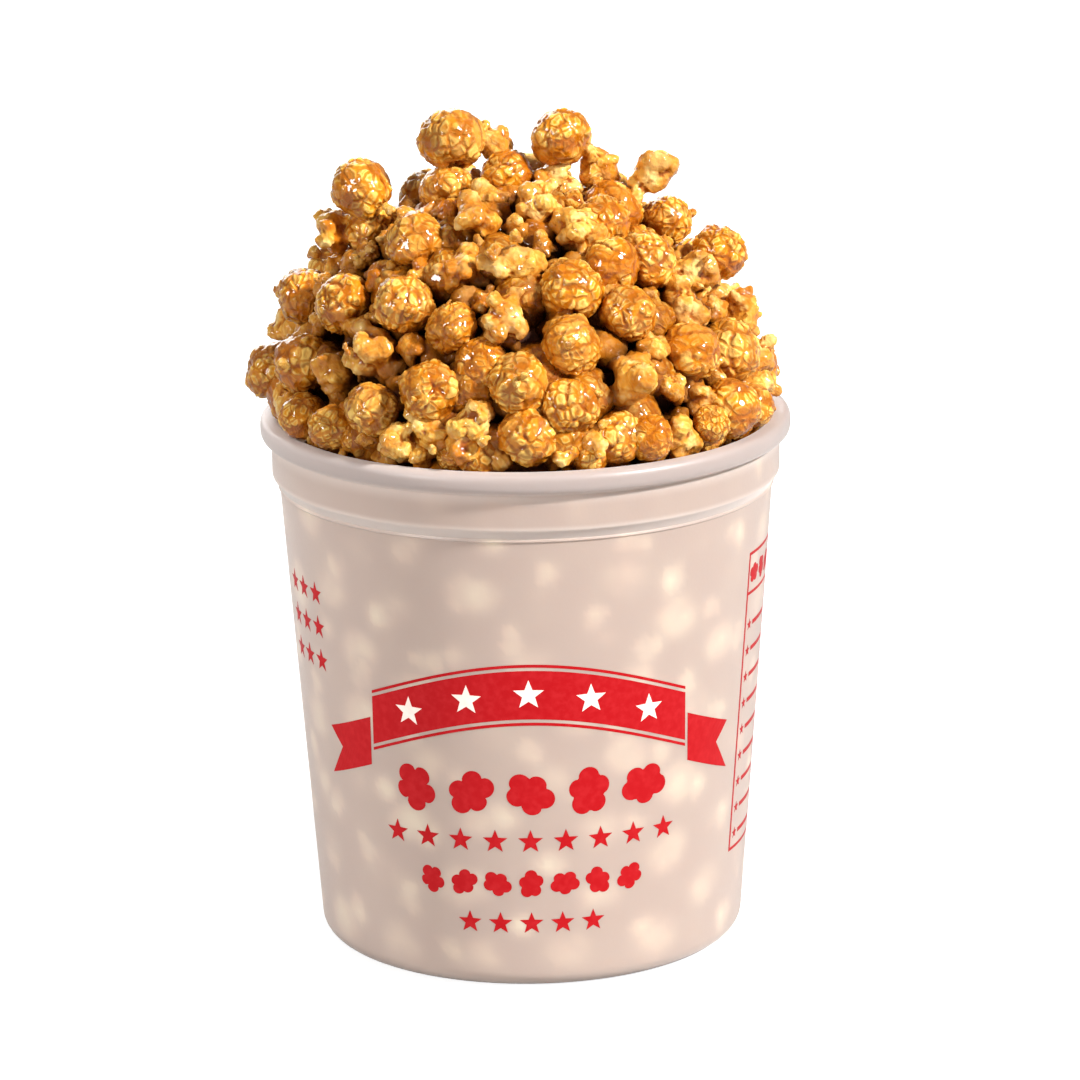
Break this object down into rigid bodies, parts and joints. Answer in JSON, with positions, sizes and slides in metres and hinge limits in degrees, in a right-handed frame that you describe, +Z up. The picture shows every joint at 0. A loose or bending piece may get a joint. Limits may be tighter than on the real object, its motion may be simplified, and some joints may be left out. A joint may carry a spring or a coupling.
{
  "type": "bucket of caramel popcorn",
  "caption": "Round tapered plastic tub with a rolled lip and stacking collar, heaped high with caramel popcorn.",
  "frame": {"origin": "centre of the tub's foot, on the surface it stands on", "axes": "+Z up along the tub's axis; -Y is the front, the side that faces the camera"},
  "size_m": [0.1956, 0.1898, 0.3032],
  "materials": {
    "frosted_plastic": "frosted, translucent",
    "caramel_popcorn": "glazed with caramel"
  },
  "bodies": {
    "root": {"tub": "frosted_plastic", "popcorn": "caramel_popcorn"}
  },
  "joints": []
}
